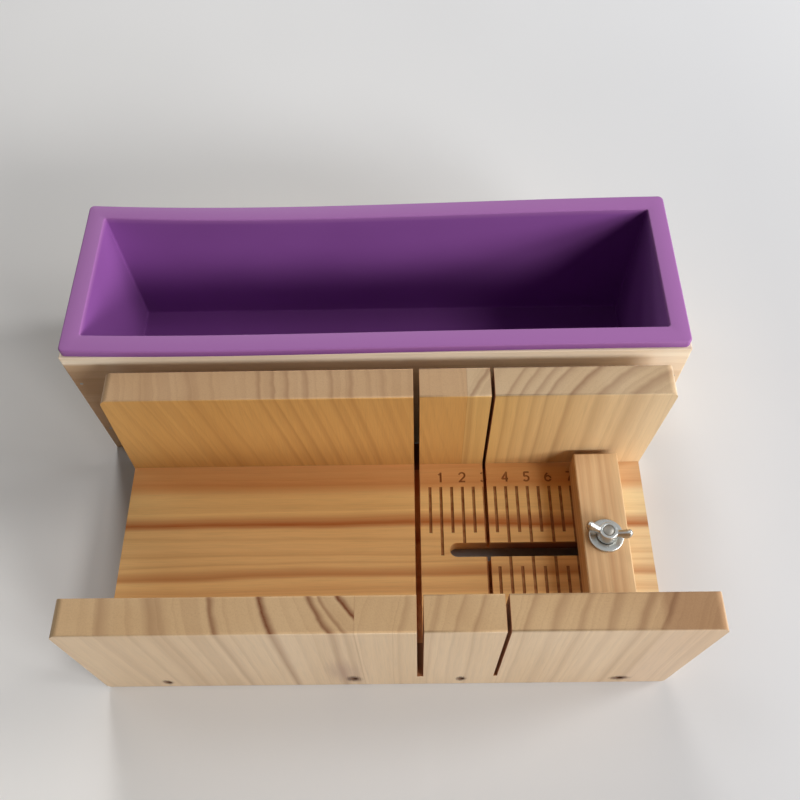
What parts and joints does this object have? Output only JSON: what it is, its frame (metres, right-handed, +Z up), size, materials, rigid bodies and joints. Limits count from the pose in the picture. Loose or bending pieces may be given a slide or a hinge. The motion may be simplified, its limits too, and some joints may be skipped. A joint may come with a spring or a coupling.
{
  "type": "soap loaf mould",
  "caption": "Silicone loaf liner in a wooden box, with a matching slotted cutting box that has a centimetre scale and a sliding stop clamped by a wing nut.",
  "frame": {"origin": "on the table, under the middle of the whole set", "axes": "+X along the loaf, with the stop at the right; -Y is the side the user works from, where the cutting box stands; +Z up"},
  "size_m": [0.268, 0.201, 0.0872],
  "materials": {
    "pale_pine": "sanded, unfinished",
    "warm_pine": "sanded, unfinished",
    "violet_silicone": "smooth, semi-matt",
    "zinc": "bright zinc plate",
    "bright_steel": "plain wire nail"
  },
  "bodies": {
    "mould_box": {"box_front_panel": "pale_pine", "box_back_panel": "pale_pine", "box_left_end": "pale_pine", "box_right_end": "pale_pine", "box_floor": "pale_pine", "box_brads": "bright_steel"},
    "liner": {"silicone_liner": "violet_silicone"},
    "cutting_box": {"cutter_base": "warm_pine", "cutter_front_wall": "warm_pine", "cutter_back_wall": "warm_pine", "wall_nails": "bright_steel"},
    "stop": {"stop_block": "warm_pine", "carriage_bolt": "zinc"},
    "clamp_washer": {"washer": "zinc"},
    "clamp_nut": {"wing_nut": "zinc"}
  },
  "joints": [
    {"name": "liner_lift", "type": "slide", "parent": "mould_box", "child": "liner", "axis": [0, 0, 1], "range_m": [0, 0.09]},
    {"name": "cutting_box_apart", "type": "slide", "parent": "mould_box", "child": "cutting_box", "axis": [0, -1, 0], "range_m": [0, 0.15]},
    {"name": "stop_slide", "type": "slide", "parent": "cutting_box", "child": "stop", "axis": [1, 0, 0], "range_m": [-0.0625, 0.0048]},
    {"name": "washer_rise", "type": "slide", "parent": "stop", "child": "clamp_washer", "axis": [0, 0, 1], "range_m": [0, 0.0025]},
    {"name": "wing_nut_turn", "type": "hinge", "parent": "clamp_washer", "child": "clamp_nut", "pos_m": [0.0984, -0.047, 0.0372], "axis": [0, 0, 1], "range_deg": [0, 1080]}
  ],
  "couplings": [
    {"joint": "washer_rise", "follows": "wing_nut_turn", "m_per_rad": 0.00012732}
  ]
}
